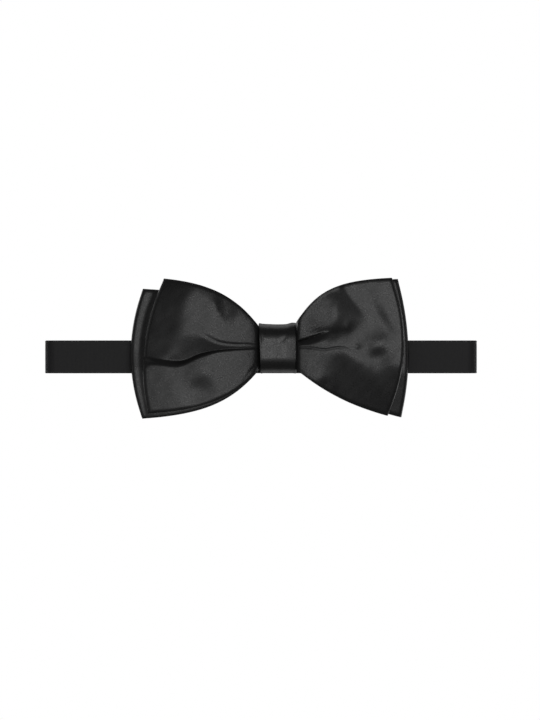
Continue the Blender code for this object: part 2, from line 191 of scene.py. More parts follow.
class Finish:
    # one material: its node tree, and the short ways to add to it
    def __init__(self, name, settings):
        self.material = bpy.data.materials.new(name)
        self.material.use_nodes = True
        self.tree = self.material.node_tree
        self.shader = self.tree.nodes["Principled BSDF"]
        for socket, value in settings.items():
            self.shader.inputs[socket].default_value = value

    def add(self, kind, settings, values, output=0):
        node = self.tree.nodes.new(kind)
        for key, value in settings.items():
            setattr(node, key, value)
        for key, value in values.items():
            self.put(node.inputs[key], value)
        return Strand(self, node.outputs[output])

    def put(self, socket, value):
        if isinstance(value, Strand):
            self.tree.links.new(value.socket, socket)
        else:
            socket.default_value = value

    def to(self, socket, value):
        self.put(self.shader.inputs[socket], value)

    def wave(self, value):
        return self.add("ShaderNodeMath", {"operation": "SINE"}, {0: value})

    def size(self, value):
        return self.add("ShaderNodeMath", {"operation": "ABSOLUTE"}, {0: value})

    def step(self, value, low, high):
        return self.add("ShaderNodeMapRange", {"interpolation_type": "SMOOTHSTEP"},
                        {"Value": value, "From Min": low, "From Max": high})

    def noise(self, place, scale, detail, roughness):
        values = {"Vector": place, "Scale": scale, "Detail": detail, "Roughness": roughness}
        return self.add("ShaderNodeTexNoise", {}, values)

    def blend(self, share, first, second):
        return self.add("ShaderNodeMix", {"data_type": "RGBA"}, {0: share, 6: first, 7: second}, 2)

    def clothPlace(self):
        # the piece's own cloth coordinates, in metres: the point, and its place along and across the weave
        place = self.add("ShaderNodeUVMap", {"uv_map": "cloth"}, {})
        along = self.add("ShaderNodeSeparateXYZ", {}, {0: place})
        return place, along, Strand(self, along.socket.node.outputs[1])

    def threads(self, value, pitch):
        # a wave that repeats at the pitch of the threads
        return self.wave(value * (circle / pitch))

    def dress(self, look, share, roughness, height, strength):
        # what varies over every surface: its colour, roughness and fine relief, with the height in millimetres
        self.to("Base Color", self.blend(share, look["dark"], look["light"]))
        self.to("Roughness", roughness)
        values = {"Height": height, "Strength": strength, "Distance": mm}
        self.to("Normal", self.add("ShaderNodeBump", {}, values))
        return self.material


def clothFinish(name, specular, sheen, sheenRoughness):
    settings = {"Specular IOR Level": specular, "Sheen Weight": sheen, "Sheen Roughness": sheenRoughness}
    finish = Finish(name, settings)
    return finish, *finish.clothPlace()


satinLook = {
    "dark": (0.0075, 0.0075, 0.0076, 1.0),
    "light": (0.0125, 0.0125, 0.0127, 1.0),
    "roughness": 0.33,
    "roughnessSpread": 0.38,
    "floatPitch": 0.22 * mm,
    "pickPitch": 0.30 * mm,
    "weaveDepth": 0.012,
    "slubScale": 1400.0,
    "slubDepth": 0.045,
    "rippleScale": 260.0,
    "rippleDepth": 0.05,
}


def satinFinish():
    look = satinLook
    finish, place, along, across = clothFinish("black_satin", 0.5, 0.0, 0.5)
    # long floats lie side by side; each one is held down at a pick that shifts from float to float
    floats = finish.threads(across, look["floatPitch"])
    picks = finish.wave(along * (circle / look["pickPitch"]) + across * (circle / (5.0 * look["floatPitch"])))
    weave = floats * 0.6 + picks * 0.4
    ripple = finish.noise(place, look["rippleScale"], 3.0, 0.55)
    slub = finish.noise(place, look["slubScale"], 2.0, 0.6)
    roughness = (look["roughness"] + (slub - 0.5) * look["roughnessSpread"]
                 + (ripple - 0.5) * 0.3 * look["roughnessSpread"])
    height = weave * look["weaveDepth"] + ripple * look["rippleDepth"] + slub * look["slubDepth"]
    return finish.dress(look, slub * 0.6 + weave * 0.15 + 0.1, roughness, height, 0.6)


ribbonLook = {
    "dark": (0.0085, 0.0085, 0.009, 1.0),
    "light": (0.016, 0.016, 0.017, 1.0),
    "roughness": 0.62,
    "ribPitch": 0.55 * mm,
    "endPitch": 0.4 * mm,
    "ribDepth": 0.05,
    "fuzzScale": 2200.0,
    "fuzzDepth": 0.02,
    "halfWidth": 7.1 * mm,
    "selvedge": 0.9 * mm,
}


def ribbonFinish():
    look = ribbonLook
    finish, place, along, across = clothFinish("black_ribbon", 0.35, 0.05, 0.4)
    ribs = finish.threads(along, look["ribPitch"])
    ends = finish.threads(across, look["endPitch"])
    edge = finish.step(finish.size(across), look["halfWidth"] - look["selvedge"],
                       look["halfWidth"] - 0.6 * look["selvedge"])
    ground = ribs * 0.5 + ends * 0.25 * (1.0 - edge)
    fuzz = finish.noise(place, look["fuzzScale"], 2.0, 0.6)
    roughness = look["roughness"] + (fuzz - 0.5) * 0.1 - edge * 0.05
    height = ground * look["ribDepth"] + fuzz * look["fuzzDepth"]
    return finish.dress(look, ground * 0.35 + fuzz * 0.6 + 0.1, roughness, height, 0.7)


canvasLook = {
    "dark": (0.018, 0.018, 0.019, 1.0),
    "light": (0.045, 0.044, 0.043, 1.0),
    "roughness": 0.82,
    "pitch": 0.7 * mm,
    "weaveDepth": 0.05,
    "feltScale": 900.0,
    "feltDepth": 0.08,
}


def canvasFinish():
    # stiff dark canvas: a plain open weave with a felted surface
    look = canvasLook
    finish, place, along, across = clothFinish("charcoal_canvas", 0.2, 0.15, 0.6)
    weave = finish.threads(along, look["pitch"]) * finish.threads(across, look["pitch"])
    felt = finish.noise(place, look["feltScale"], 3.0, 0.65)
    return finish.dress(look, felt * 0.8 + weave * 0.2, look["roughness"] + (felt - 0.5) * 0.15,
                        weave * look["weaveDepth"] + felt * look["feltDepth"], 0.7)


threadLook = {
    "dark": (0.009, 0.009, 0.010, 1.0),
    "light": (0.022, 0.022, 0.024, 1.0),
    "roughness": 0.5,
    "plyPitch": (0.45 * mm, 0.8 * mm),
    "plyDepth": 0.03,
    "fibreScale": 4000.0,
    "fibreDepth": 0.015,
}


def threadFinish():
    # polyester sewing thread: its ply shows as fine slanting lines
    look = threadLook
    finish, place, along, across = clothFinish("black_thread", 0.45, 0.08, 0.4)
    ply = finish.wave(along * (circle / look["plyPitch"][0]) + across * (circle / look["plyPitch"][1]))
    fibre = finish.noise(place, look["fibreScale"], 2.0, 0.6)
    return finish.dress(look, ply * 0.25 + fibre * 0.5, look["roughness"] + (fibre - 0.5) * 0.15,
                        ply * look["plyDepth"] + fibre * look["fibreDepth"], 0.7)


steelLook = {
    "dark": (0.035, 0.035, 0.037, 1.0),
    "light": (0.13, 0.13, 0.132, 1.0),
    "roughness": 0.24,
    "peelScale": 900.0,
    "peelDepth": 0.03,
    "rubScale": 260.0,
    "rubRange": (0.52, 0.72),
}


def steelFinish():
    # black enamelled wire: smooth, a little orange peel, rubbed thin in patches
    look = steelLook
    finish = Finish("blackened_steel", {"Specular IOR Level": 0.5})
    place = finish.add("ShaderNodeTexCoord", {}, {}, 3)
    peel = finish.noise(place, look["peelScale"], 3.0, 0.5)
    rub = finish.step(finish.noise(place, look["rubScale"], 3.0, 0.6), *look["rubRange"])
    finish.to("Metallic", 0.75 + rub * 0.25)
    finish.to("Coat Weight", 0.35 - rub * 0.3)
    return finish.dress(look, rub, look["roughness"] + (peel - 0.5) * 0.14 + rub * 0.1,
                        peel * look["peelDepth"], 0.4)


satin = satinFinish()
ribbonCloth = ribbonFinish()
canvas = canvasFinish()
sewing = threadFinish()
steel = steelFinish()
print("materials made")


def settle(piece, material, slot, body, *nodes):
    # give a piece its finish, its body and the solids that it stands for
    piece.data.materials.append(material)
    if body:
        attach(piece, body)
    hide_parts(*nodes)


# from here on, lengths are in millimetres: x to the right, z up, y away from the viewer
bowCloth = {
    "waistHeight": 7.6,  # half height of the gathered cloth inside the knot
    "halfWidth": 28.0,  # of the flat strip
    "cover": 0.5,  # thickness of the satin and the canvas, and the gap between them
    "canvas": 0.5,
    "gap": 0.15,
    "hem": 1.2,  # the canvas ends this far inside the satin's edges
    "fullness": 0.5,  # the satin's edges are turned under, so they are a little thicker
    "fullWidth": 1.6,
    "clear": 8.0,  # x where the cloth comes out of the knot and can rise
    "early": 0.2,  # the part of the rise that is already there inside the knot
    "free": (7.2, 14.0),  # from and to which x leans, unevenness and pinched edges set in
    "foldsSetIn": (7.0, 9.5),
    "turnRadius": 1.5,  # at the wing's end, where the strip turns back
    "followed": 9.0,  # this near to the wing's end the back panel takes on the front's shape
    "calm": 4.0,  # and this near the unevenness fades
    "curl": 0.9,  # how far the gathered cloth's corners curl back inside the knot
    "pinch": 0.5,  # how far both panels close in along their upper and lower edges
    "pinchWidth": 0.9,
    "crowding": 1.15,  # above 1, columns lie closer to the wing's end
    "edgeSteps": 4,
    "coverFlat": (0.212, 0.058),
    "canvasFlat": (0.208, 0.0556),
}

# the shape pressed into the satin, with x counted away from the knot. A fold has two feet, low and high,
# and a middle line between them: a valley of the given depth. Its lines give z for each x, or, where it is
# upright, x for each z. A swell is an oval rise. A lean slopes back past a line, as far as its share at each x.
leftFolds = {
    "folds": [
        {"soft": 0.10, "round": 0.05,
         "low": [(6, -0.5), (18, -1), (26, -1.8), (33, -3.8), (42, -7.6), (50, -7.2), (58, -6)],
         "middle": [(6, 0.2), (18, -0.2), (26, -0.9), (33, -2.4), (40, -5.2), (48, -5), (58, -3.6)],
         "high": [(6, 1.2), (12, 2), (18, 2), (25, 2.8), (31, 4.8), (38, 6), (46, 5), (58, 5)],
         "depth": [(6, 0.6), (12, 0.7), (20, 0.9), (26, 1.4), (32, 2.3), (38, 2.7), (44, 2.4), (50, 1.9),
                   (57, 1.4)]},
        {"soft": 0.15, "round": 0.15,
         "low": [(6, 0.3), (12, 1), (18, 1), (25, 1.8), (31, 4.4), (35, 6)],
         "middle": [(6, 0.8), (12, 1.7), (18, 1.8), (25, 2.7), (31, 5.4), (35, 7)],
         "high": [(6, 1.6), (12, 2.6), (18, 2.8), (25, 3.9), (31, 7), (35, 8.6)],
         "depth": [(6, 0.1), (12, 0.25), (22, 0.38), (29, 0.32), (34, 0), (35, 0)]},
        {"soft": 0.2, "round": 0.15,
         "low": [(6, -12), (12, -15), (16, -18)],
         "middle": [(6, -3.5), (12, -10), (16, -16)],
         "high": [(6, -2.5), (12, -9), (16, -15)],
         "depth": [(6, 0.3), (10, 0.35), (14, 0.15), (16, 0), (17, 0)]},
    ],
    "swells": [
        {"at": (32.3, -14.3), "size": (6.5, 7.5), "turn": 10, "height": 1.9, "tilt": True},
    ],
    "leans": [
        {"line": [(6, 6.5), (10, 9.5), (13.5, 12), (17, 13), (20, 11), (22, 10.5), (24, 13),
                  (27, 18.5), (30, 21.5), (34, 23.6), (58, 25)], "slope": 0.2, "soft": 1.0},
        {"line": [(6, -7), (20, -18.5), (40, -26), (58, -27)], "slope": -0.2, "soft": 0.6},
        {"upright": True, "slope": 0.23, "soft": 1.1,
         "line": [(-9, 58), (-5, 50), (-1, 44.5), (5, 41), (10, 39.8), (18, 39.8), (24, 36.5), (31, 33)]},
    ],
}

rightFolds = {
    "folds": [
        {"soft": 0.08, "round": 0.02,
         "low": [(6, 0.8), (14, 1.5), (22, 4.3), (30, 7)],
         "middle": [(6, 2.2), (12, 3.9), (20, 6.5), (30, 9)],
         "high": [(6, 2.8), (12, 4.6), (20, 7.2), (30, 10)],
         "depth": [(6, 1.3), (12, 1.7), (17, 1.3), (20, 0.6), (23, 0), (24, 0)]},
        {"soft": 0.1, "round": 0.1,
         "low": [(6, -0.2), (14, -0.7), (20.7, -1.6), (25, -0.8), (28, -1), (33, -3.6)],
         "middle": [(6, 0.6), (14, 0.4), (20.7, -0.4), (25, 0.3), (28, 0.3), (33, -2)],
         "high": [(6, 0.9), (14, 0.9), (20.7, 0.2), (25, 0.9), (28, 1), (33, -1)],
         "depth": [(6, 0.3), (18, 0.3), (30, 0.2), (34, 0), (35, 0)]},
        {"upright": True, "soft": 0.07, "round": 0.12,
         "low": [(-8, 9), (31, 9)],
         "middle": [(-8, 22.5), (2, 22.5), (7, 23.5), (12, 25), (20, 26), (25, 26.6), (31, 27.8)],
         "high": [(-8, 31), (2, 31), (7, 33.5), (12, 36.8), (20, 32), (25, 28.8), (31, 29)],
         "depth": [(0, 0), (3, 0.2), (6, 1), (9, 2.3), (12, 3), (16, 3.1), (20, 2.4), (25, 1),
                   (31, 0.5)]},
    ],
    "swells": [
        {"at": (34.2, 0.8), "size": (1.2, 1.2), "height": -0.35},
        {"at": (46, 12.8), "size": (7.5, 3.2), "turn": 122, "height": -0.65, "tilt": True},
        {"at": (43, -1.3), "size": (5.5, 5), "turn": 12, "height": 1.7, "tilt": True},
        {"at": (30, 9), "size": (1.6, 2.2), "height": -0.3},
        {"at": (44, 17), "size": (12, 14), "height": 1.3, "tilt": True},
        {"at": (18.5, -12.5), "size": (2.6, 2.6), "height": 0.35},
    ],
    "leans": [
        {"line": [(6, -1), (22, -1.8), (28, -1.5), (34, -5), (38, -6), (42, -5.5), (47, -6.5),
                  (58, -8)], "share": [(13, 0), (22, 0.7), (28, 1), (29, 1)], "slope": -0.3, "soft": 1.0},
        {"upright": True, "line": [(-30, 38), (31, 38)], "slope": -0.1, "soft": 3.0},
    ],
    "wrinkles": [
        {"at": (17, 7.5), "size": (6, 3.5), "turn": 30, "pitch": 1.4, "height": 0.022},
    ],
}

rearLeftFolds = {
    "folds": [
        {"upright": True, "soft": 0.12, "round": 0.14,
         "low": [(-31, 53.2), (-15, 56), (0, 56.8), (15, 54.5), (25, 50.6), (30, 48.5)],
         "middle": [(-31, 56.2), (-15, 58.7), (0, 59.2), (15, 56.6), (25, 53), (30, 51.2)],
         "high": [(-31, 57.8), (-15, 61.3), (0, 62.4), (15, 61), (25, 57.8), (30, 56.5)],
         "depth": [(-31, 0.5), (0, 0.65), (30, 0.65)]},
    ],
    "leans": [
        {"line": [(6, 6.5), (14, 11), (20, 12), (30, 18), (58, 25)], "slope": 0.2, "soft": 1.0},
        {"upright": True, "line": [(-9, 58), (-1, 44.5), (10, 39.8), (18, 39.8), (31, 33)],
         "slope": 0.07, "soft": 1.1},
    ],
}

rearRightFolds = {
    "leans": [
        {"line": [(6, -3), (28, -4), (34, -7), (58, -10)],
         "share": [(13, 0), (22, 0.7), (28, 1), (29, 1)], "slope": -0.21, "soft": 1.0},
    ],
}

frontBow = {
    "node": "front",
    "rest": -6.95,  # y of its back face inside the knot
    "waistDepth": 2.9,
    "backPuff": 3.5,
    "frontPuff": 7.5,
    "puffLength": 20.0,
    "tipDepth": 0.34,  # how much of the wing's depth is left at its end
    "columns": 112,
    "backColumns": 37,
    "rows": 136,
    # start is the x inside the knot that the wing grows from; the rates say how fast its edges spread
    "left": {"top": (48.2, 29.9), "bottom": (54.8, -27.9), "bulge": 5.3, "start": 6.9,
             "topRate": 2.6, "bottomRate": 2.9, "steep": 0.35, "steepLength": 1.0, "folds": leftFolds},
    "right": {"top": (48.6, 30.1), "bottom": (47.1, -28.9), "bulge": 6.0, "start": 6.6,
              "topRate": 3.8, "bottomRate": 1.2, "steep": 0.75, "steepLength": 0.5, "folds": rightFolds},
}

rearBow = {
    "node": "rear",
    "rest": -3.6,
    "waistDepth": 2.9,
    "backPuff": 0.0,
    "frontPuff": 3.5,
    "puffLength": 11.0,
    "tipDepth": 0.5,
    "columns": 56,
    "backColumns": 24,
    "rows": 84,
    "left": {"top": (57.5, 25.6), "bottom": (57.7, -30.2), "bulge": 5.2, "start": 6.9,
             "topRate": 3.0, "bottomRate": 3.0, "steep": 0.3, "steepLength": 1.9, "folds": rearLeftFolds},
    "right": {"top": (51.5, 29.8), "bottom": (53.2, -29.7), "bulge": 3.8, "start": 6.9,
              "topRate": 3.6, "bottomRate": 1.2, "steep": 0.3, "steepLength": 1.9, "folds": rearRightFolds},
}


def lineAt(points, x):
    # a smooth line through a few points: cubic between them, level beyond the ends
    xs, zs = np.array(points, float).T
    slopes = np.gradient(zs, xs)
    x = np.clip(x, xs[0], xs[-1])
    span = np.clip(np.searchsorted(xs, x) - 1, 0, len(xs) - 2)
    width = xs[span + 1] - xs[span]
    t = (x - xs[span]) / width
    return (zs[span] * (1 + 2 * t) * (1 - t) ** 2 + zs[span + 1] * t * t * (3 - 2 * t)
            + width * (slopes[span] * t * (1 - t) ** 2 - slopes[span + 1] * t * t * (1 - t)))


def opened(share, rate):
    # how far an edge has spread on its way to its corner: fast at first, then slower
    return (1.0 - np.exp(-rate * share)) / (1.0 - math.exp(-rate))


def softAbove(value, soft):
    # 0 below 0 and the value itself above, with a bend of the given softness between
    return soft * np.logaddexp(0.0, value / soft)


def leaning(folds, x, z):
    # how far the whole wing leans back: nothing up to a line and a steady slope past it
    back = np.zeros(np.broadcast(x, z).shape)
    for lean in folds["leans"]:
        if lean.get("upright"):
            past, slope = x - lineAt(lean["line"], z), lean["slope"]
        else:
            past = (z - lineAt(lean["line"], x)) * math.copysign(1.0, lean["slope"])
            slope = abs(lean["slope"])
        back += slope * softAbove(past, lean["soft"]) * lineAt(lean.get("share", [(0, 1.0), (1, 1.0)]), x)
    return back


def turned(x, z, patch):
    # distances from a patch's middle, along its own turned axes
    turn = math.radians(patch.get("turn", 0.0))
    dx, dz = x - patch["at"][0], z - patch["at"][1]
    return dx * math.cos(turn) + dz * math.sin(turn), dz * math.cos(turn) - dx * math.sin(turn)


def relief(folds, x, z):
    # how far the front satin alone stands out towards the viewer: the sum of its folds
    out = np.zeros(np.broadcast(x, z).shape)
    for fold in folds.get("folds", []):
        # two straight flanks from the feet to the middle line, rounded where they meet and at the feet
        run, way = (z, x) if fold.get("upright") else (x, z)
        low, middle, high = (lineAt(fold[key], run) for key in ("low", "middle", "high"))
        up = (way - low) / (middle - low)
        down = (high - way) / (high - middle)
        both = -fold["round"] * np.logaddexp(-up / fold["round"], -down / fold["round"])
        out -= lineAt(fold["depth"], run) * softAbove(both, fold["soft"])
    for swell in folds.get("swells", []):
        # a bell curve of the distance from its middle; a tilt is high on one side and low on the other
        a, b = turned(x, z, swell)
        b = b / swell["size"][1]
        rise = swell["height"] * np.exp(-((a / swell["size"][0]) ** 2 + b * b))
        out += rise * (b if swell.get("tilt") else 1.0)
    for wrinkle in folds.get("wrinkles", []):
        # a patch of fine parallel waves that fade towards the patch's edge
        a, b = turned(x, z, wrinkle)
        waves = np.sin(circle * b / wrinkle["pitch"] + 0.4 * np.sin(a))
        out += wrinkle["height"] * bell(a, b, (0.0, 0.0), wrinkle["size"]) * waves
    return out


handling = {
    "lengths": (19.0, 14.0, 11.0, 8.0, 6.0, 4.5),
    "height": 0.0022,  # of each wave, as a share of its length
    "seeds": {1: 11, -1: 5},  # for the right and the left wing
}


def handled(x, z, seed):
    # the slight unevenness of cloth that has been handled: a few long waves in different directions
    draw = np.random.default_rng(seed)
    out = np.zeros(np.broadcast(x, z).shape)
    for length in handling["lengths"]:
        turn, start = draw.uniform(0.0, circle, 2)
        phase = circle * (x * math.cos(turn) + z * math.sin(turn)) / length + start
        out += handling["height"] * length * np.sin(phase)
    return out


def wingPanel(bow, side, share, height, front):
    # share runs from the knot (0) to the wing's end (1), height from the lower edge (-1) to the upper (1);
    # the outline opens from the waist to two corners, and the two panels close on each other at the end
    cloth = bowCloth
    wing = bow["right"] if side > 0 else bow["left"]
    start, folds = wing["start"], wing["folds"]
    upper = (1.0 + height) / 2.0
    corner = wing["bottom"][0] + (wing["top"][0] - wing["bottom"][0]) * upper
    reach = corner + wing["bulge"] * (1.0 - height * height) - start
    left = (1.0 - share) * reach
    x = start + reach * share
    waist = cloth["waistHeight"]
    top = waist + (wing["top"][1] - waist) * opened(share, wing["topRate"])
    bottom = -waist + (wing["bottom"][1] + waist) * opened(share, wing["bottomRate"])
    z = bottom + (top - bottom) * upper

    # the wing's depth: it rises steeply out of the knot, then gently, and narrows towards the end
    steep, early, clear = wing["steep"], cloth["early"], cloth["clear"]
    swell = (1.0 - steep * np.exp(-np.maximum(x - clear, 0.0) / wing["steepLength"])
             - (1.0 - steep) * np.exp((start - x) / bow["puffLength"]))
    swell = early * ease(start, clear, x) + (1.0 - early) * swell
    back = bow["rest"] - cloth["cover"] / 2 - bow["backPuff"] * swell
    fore = bow["rest"] - bow["waistDepth"] + cloth["cover"] / 2 - bow["frontPuff"] * swell
    narrowing = 1.0 - (1.0 - bow["tipDepth"]) * share ** 3
    half = (back - fore) / 2.0 * narrowing * rounded(left / cloth["turnRadius"])
    y = (back + fore) / 2.0 - half * (1.0 if front else -1.0)

    # the front panel takes every fold and lean; the back panel follows fully only beside the wing's end
    free = ease(*cloth["free"], x)
    follows = 1.0 if front else 1.0 - ease(0.0, cloth["followed"], left)
    y = y + leaning(folds, x, z) * free * (0.5 + 0.5 * follows)
    y = y - relief(folds, x, z) * ease(*cloth["foldsSetIn"], x) * follows
    y = y - handled(x, z, handling["seeds"][side]) * free * ease(0.0, cloth["calm"], left)
    if front:
        y = y + cloth["curl"] * np.abs(height) ** 6 * (1.0 - free)
    rim = (1.0 - np.abs(height)) * (top - bottom) / 2.0
    pinch = cloth["pinch"] if front else -cloth["pinch"]
    y = y + pinch * np.exp(-(rim / cloth["pinchWidth"]) ** 2) * free
    return spread(side * x, y, z)


def bowLoop(bow, inset):
    # the whole loop seen from above: front panel to the right, round the wing's end, back panel,
    # round the left end and along the front again to where it began
    cloth = bowCloth
    close = np.sin(np.linspace(0.0, math.pi / 2, bow["columns"])) ** cloth["crowding"]
    few = np.sin(np.linspace(0.0, math.pi / 2, bow["backColumns"]))
    rows = spaced(bow["rows"], cloth["cover"] / 2 / cloth["halfWidth"], cloth["edgeSteps"])
    rows = rows * (1.0 - inset / cloth["halfWidth"])
    panels = ((1, close, True), (1, few[::-1][1:], False), (-1, few, False), (-1, close[::-1][1:], True))
    parts = [wingPanel(bow, side, shares[:, None], rows[None, :], front) for side, shares, front in panels]
    return np.concatenate([*parts, parts[0][:1]], axis=0), rows


def edgeRound(rows, high, edge):
    # half thickness across the cloth: full in the middle, a quarter circle down to both edges
    return high * rounded((1.0 - np.abs(rows) / np.abs(rows).max()) / edge)


def makeBow(bow):
    cloth = bowCloth
    wide = cloth["halfWidth"]
    layers = (("cover", "satin", satin, 0.0), ("canvas", "interlining", canvas, cloth["hem"]))
    for part, slot, finish, inset in layers:
        loop, rows = bowLoop(bow, inset)
        half = edgeRound(rows, cloth[part] / 2, cloth[part] / 2 / wide)
        if part == "cover":
            rim = (1.0 - np.abs(rows)) * wide
            half = half * (1.0 + cloth["fullness"] * np.exp(-(rim / cloth["fullWidth"]) ** 2))
            centre = runLength(loop[:, loop.shape[1] // 2])[:, None]
        else:
            # it lies inside the satin; the sign is taken in front, where inwards is away from the viewer
            inwards = facing(loop) * (cloth["cover"] / 2 + cloth["gap"] + cloth["canvas"] / 2)
            loop = loop + inwards * np.sign(inwards[5, loop.shape[1] // 2, 1])
        half = np.repeat(half[None, :], len(loop), axis=0)
        name = f"{bow['node']}_bow_{part}"
        piece = clothPiece(name, loop * mm, half * mm, spread(centre, rows[None, :] * wide) * mm)
        settle(piece, finish, slot, "bow", f"{bow['node']}_bow_{slot}")


makeBow(rearBow)
makeBow(frontBow)
print("bows made")


knotCloth = {
    "width": 16.1,
    "height": 20.1,  # between the middles of the cloth, top to bottom
    "front": -12.3,  # y of the middle of the cloth in front, and at the back
    "back": -0.45,
    "thickness": 0.9,
    "frontCorner": 6.4,
    "backCorner": 1.2,
    "middle": 0.25,  # x of its middle at z 0, and how it leans and widens with z
    "lean": -0.02,
    "taper": 0.022,
    "seamDrop": 5.0,
    "seamGap": 1.6,
    "step": 0.22,
    "rows": 58,
    "flat": 0.0165,  # width of the flat strip, in metres
    "flare": 0.45,  # how far the side edges stand out from the middle
    # where it bends over the top: x, width, the z that it starts from, height
    "topSwells": [(6.3, 1.6, 6.0, 0.45), (0.5, 4.0, 7.0, -0.15)],
    # one short crease that slants down from the upper bend, and one hollow near the left edge
    "creaseAt": (2.6, 3.9),
    "creaseSize": (1.7, 2.0),
    "creaseThrough": (3.2, 4.6),
    "creaseWidth": 1.7,
    "creaseDepth": 0.2,
    "hollowAt": (-6.6, 4.3),
    "hollowSize": (0.7, 1.6),
    "hollowDepth": 0.22,
}

knotLining = {
    "thickness": 0.5,
    "gap": 0.75,  # from the middle of the wrap to the middle of the lining
    "narrower": 0.6,  # than the wrap
    "until": -3.0,  # y where it ends on the way to the back
    "step": 0.35,
    "rows": 30,
    "edge": 0.03,
}


def knotRound(inset, start, end):
    # (y, z) round the knot from a height on its back, over the top, down the front and back up to another
    knot = knotCloth
    back = knot["back"] - inset
    tight = max(knot["backCorner"] - inset, 0.3)
    bends = roundedBox(knot["front"] + inset, back, knot["height"] / 2 - inset, knot["frontCorner"] - inset,
                       tight, 24)
    return np.concatenate([[(back, start)], *bends, [(back, end)]])


def makeWrap():
    knot = knotCloth
    edge = knot["thickness"] / knot["width"]
    seam, gap = -knot["seamDrop"], knot["seamGap"] / 2
    line = resample(knotRound(0.0, seam + gap, seam - gap), knot["step"])
    run = runLength(line)[:, None]
    rows = spaced(knot["rows"], edge, 5)[None, :]
    y, z = line[:, :1] + 0.0 * rows, line[:, 1:] + 0.0 * rows
    x = rows * knot["width"] / 2 * (1.0 - knot["taper"] * (1.0 - z / 10.0)) + knot["middle"] + knot["lean"] * z
    grid = np.stack([x, y, z], axis=-1)
    out = facing(grid)
    inFront = ease(-4.0, -9.0, y)
    lift = knot["flare"] * np.abs(rows) ** 5
    for at, width, start, height in knot["topSwells"]:
        lift = lift + height * ease(start, 10.0, z) * np.exp(-((x - at) / width) ** 2)
    # soft folds run round the knot, with finer ones between them
    lift = lift + 0.02 * np.sin(x * 1.3 + 0.5 * np.sin(run * 0.5)) * inFront
    lift = lift + 0.006 * np.sin(x * 4.1 + 1.0 + 0.7 * np.sin(run * 0.35))
    slant = (z - knot["creaseThrough"][1]) - (x - knot["creaseThrough"][0])
    crease = bell(x, z, knot["creaseAt"], knot["creaseSize"]) * np.exp(-(slant / knot["creaseWidth"]) ** 2)
    hollow = bell(x, z, knot["hollowAt"], knot["hollowSize"])
    lift = lift - (knot["creaseDepth"] * crease + knot["hollowDepth"] * hollow) * inFront
    # the sign is taken in the middle of the front, where outwards is towards the viewer
    grid = grid - out * np.sign(out[len(line) // 2, 5, 1]) * lift[..., None]
    half = knot["thickness"] / 2 * rounded(np.minimum(run, run[-1] - run) / (knot["thickness"] / 2))
    half = half * edgeRound(rows, 1.0, edge)
    metres = spread(run, rows * knot["width"] / 2)
    wrap = clothPiece("knot_wrap_satin", grid * mm, half * mm, metres * mm)
    settle(wrap, satin, "satin", "bow", "knot_wrap")


def makeLining():
    knot, made = knotCloth, knotLining
    line = resample(knotRound(made["gap"], 0.0, 0.0), made["step"])
    line = line[line[:, 0] < made["until"]]
    run = runLength(line)[:, None]
    rows = spaced(made["rows"], made["edge"], 3)[None, :]
    width = (knot["width"] - made["narrower"]) / 2
    grid = spread(rows * width + knot["middle"] + knot["lean"] * line[:, 1:], line[:, :1], line[:, 1:])
    half = made["thickness"] / 2 * edgeRound(rows, 1.0, made["edge"]) + 0.0 * run
    lining = clothPiece("knot_canvas", grid * mm, half * mm, spread(run, rows * width) * mm, caps=True)
    settle(lining, canvas, "interlining", "bow", "knot_lining")
    2 * width * mm


def makeTube(name, path, radius, square, closed=False, ply=0.0, sides=14):
    # a round section carried along a path; square is a direction that the path never takes.
    # ply makes the section slightly lobed and turns it as it goes, as in a twisted thread
    if closed:
        path = np.concatenate([path, path[:1]])
    run = runLength(path)
    tangent = np.gradient(path, axis=0)
    if closed:
        tangent[0] = tangent[-1] = path[1] - path[-2]
    first = unit(np.cross(unit(tangent), np.array(square, float)))
    second = np.cross(unit(tangent), first)
    turn = np.linspace(0.0, circle, sides, endpoint=False)
    size = np.full(len(path), radius)
    if not closed:
        size = radius * rounded(np.minimum(run, run[-1] - run) / radius)
    lobes = 1.0 + (0.13 * np.cos(2.0 * turn[None, :] - run[:, None] * ply) if ply else 0.0)
    around = size[:, None] * lobes * np.ones_like(turn)
    grid = (path[:, None, :] + first[:, None, :] * (around * np.cos(turn))[..., None]
            + second[:, None, :] * (around * np.sin(turn))[..., None])
    return makePiece(name, grid * mm, spread(run[:, None], turn[None, :] * radius) * mm)


threads = {
    "bindingRadius": 0.3,
    "bindingTurns": 5,
    "bindingPitch": 0.9,
    "bindingDepth": (-10.45, -3.0),
    "bindingHeight": 8.2,
    "bindingCorner": 3.2,
    "tackRadius": 0.25,
    "lacingSteps": 10,
    "lacingReach": 7.1,  # half length of the lacing, and half height of its zigzag
    "lacingRise": 1.25,
    "tackSteps": 12,
    "tackHeight": 10.0,
    "tackReach": 0.5,  # half width of a tack's zigzag
    "ply": 5.5,  # turns of the ply, in radians for each millimetre
}


def sew(name, path, body, node):
    # a stitched thread along a path that lies square to y
    tube = makeTube(name, path, threads["tackRadius"], (0, 1, 0), ply=threads["ply"], sides=10)
    settle(tube, sewing, "thread", body, node)


def zigzag(count, reach):
    return np.where(np.arange(count + 1) % 2, reach, -reach)


